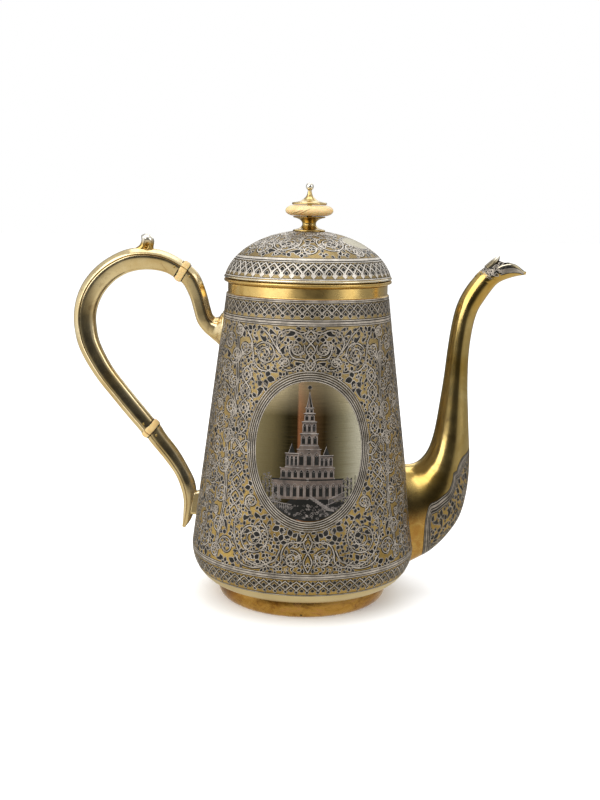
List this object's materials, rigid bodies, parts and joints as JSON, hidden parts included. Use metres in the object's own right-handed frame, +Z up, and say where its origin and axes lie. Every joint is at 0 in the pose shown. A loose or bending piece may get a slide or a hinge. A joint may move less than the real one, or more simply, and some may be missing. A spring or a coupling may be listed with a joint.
{
  "type": "coffee pot",
  "caption": "Tapered silver-gilt coffee pot with niello scrollwork, ring foot, swan-neck spout, C handle with bone heat breaks, and a lift-off domed lid with a bone knob.",
  "frame": {"origin": "centre of the whole pot's footprint box on the surface it stands on; the pot's own axis stands 4.65 mm towards +X from it", "axes": "+Z up, +X from the handle towards the spout, +Y to the back of the pot"},
  "size_m": [0.2277, 0.1152, 0.2111],
  "materials": {
    "niello_gilt": "gilt silver engraved and filled with black niello, worn satin",
    "plain_gilt": "plain gilt, polished with soft wear",
    "pale_gilt": "pale rubbed gilt, satin",
    "foot_gilt": "gilt with red and brown tarnish",
    "bone": "polished aged bone"
  },
  "bodies": {
    "pot": {"body_shell": "niello_gilt", "body_bottom": "pale_gilt", "foot_ring": "foot_gilt", "rim_moulding": "pale_gilt", "spout_shell": "plain_gilt", "spout_beak": "pale_gilt", "upper_handle_arm": "plain_gilt", "upper_heat_break": "bone", "handle_grip": "plain_gilt", "thumb_rest": "pale_gilt", "lower_heat_break": "bone", "lower_handle_arm": "plain_gilt", "lower_handle_pad": "plain_gilt", "upper_arm_pin": "pale_gilt", "upper_grip_pin": "pale_gilt", "lower_arm_pin": "pale_gilt", "lower_grip_pin": "pale_gilt"},
    "lid": {"lid_dome": "niello_gilt", "lid_band": "pale_gilt", "lid_bezel": "pale_gilt", "finial_stem": "plain_gilt", "knob_disc": "bone", "finial_cap": "plain_gilt", "finial_rod": "pale_gilt", "finial_washer": "pale_gilt", "finial_nut": "pale_gilt"}
  },
  "joints": [
    {"name": "lid_lift", "type": "slide", "parent": "pot", "child": "lid", "axis": [0, 0, 1], "range_m": [0, 0.07]}
  ]
}
